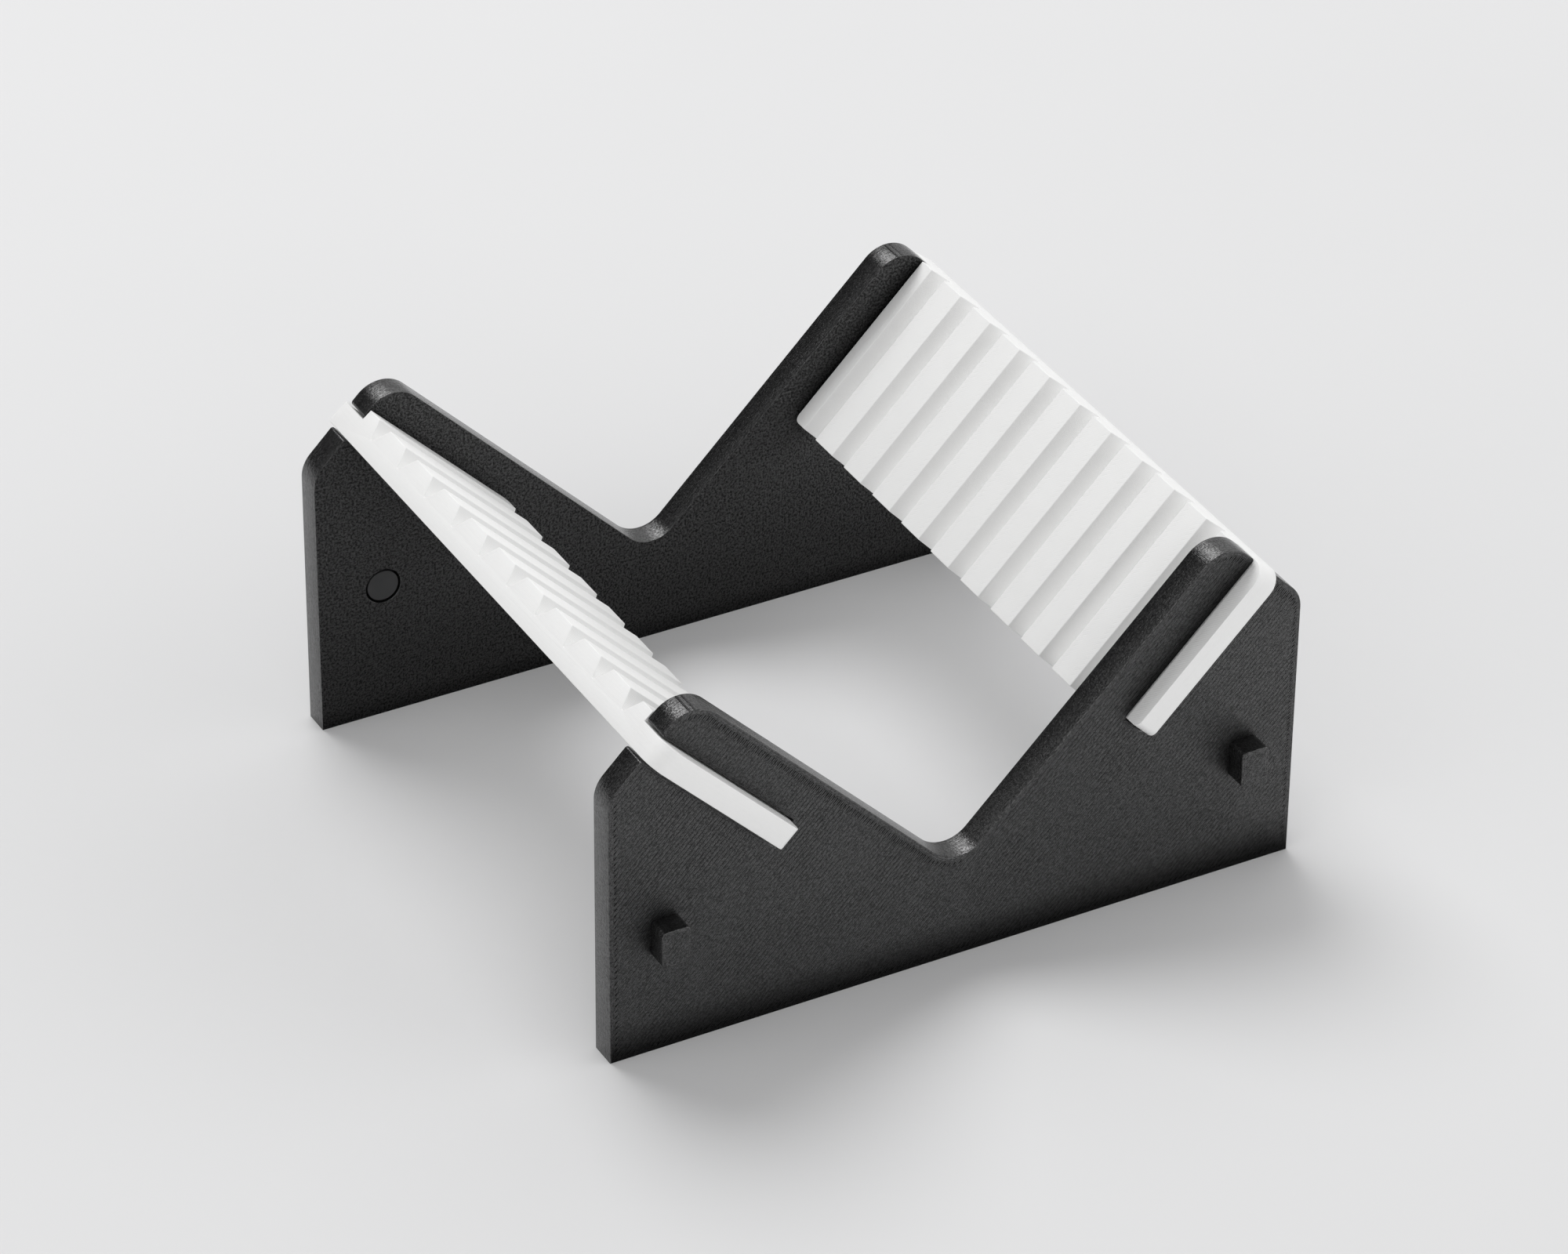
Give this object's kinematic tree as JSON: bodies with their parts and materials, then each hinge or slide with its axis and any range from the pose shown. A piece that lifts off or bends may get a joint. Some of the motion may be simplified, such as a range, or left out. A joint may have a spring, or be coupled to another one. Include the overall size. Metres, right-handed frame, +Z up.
{
  "type": "drying rack",
  "caption": "Drying rack: V-notched end plates joined by grooved bars that hold flat sheets upright, standing on one corner.",
  "frame": {"origin": "on the ground plane, under the middle of the rack", "axes": "+Z up, the rack's length from plate to plate along Y, its width along X; the front plate's outer face looks along -Y"},
  "size_m": [0.125, 0.1184, 0.0623],
  "materials": {
    "black_plastic": "3-D printed, matte, fine diagonal lines outside and pebbled inside",
    "white_plastic": "3-D printed, matte, fine lines",
    "dark_insert": "smooth, satin"
  },
  "bodies": {
    "root": {"front_end_plate": "black_plastic", "back_end_plate": "black_plastic", "left_notched_bar": "white_plastic", "right_notched_bar": "white_plastic", "front_left_round_insert": "dark_insert", "front_right_round_insert": "dark_insert", "back_left_round_insert": "dark_insert", "back_right_round_insert": "dark_insert"}
  },
  "joints": []
}
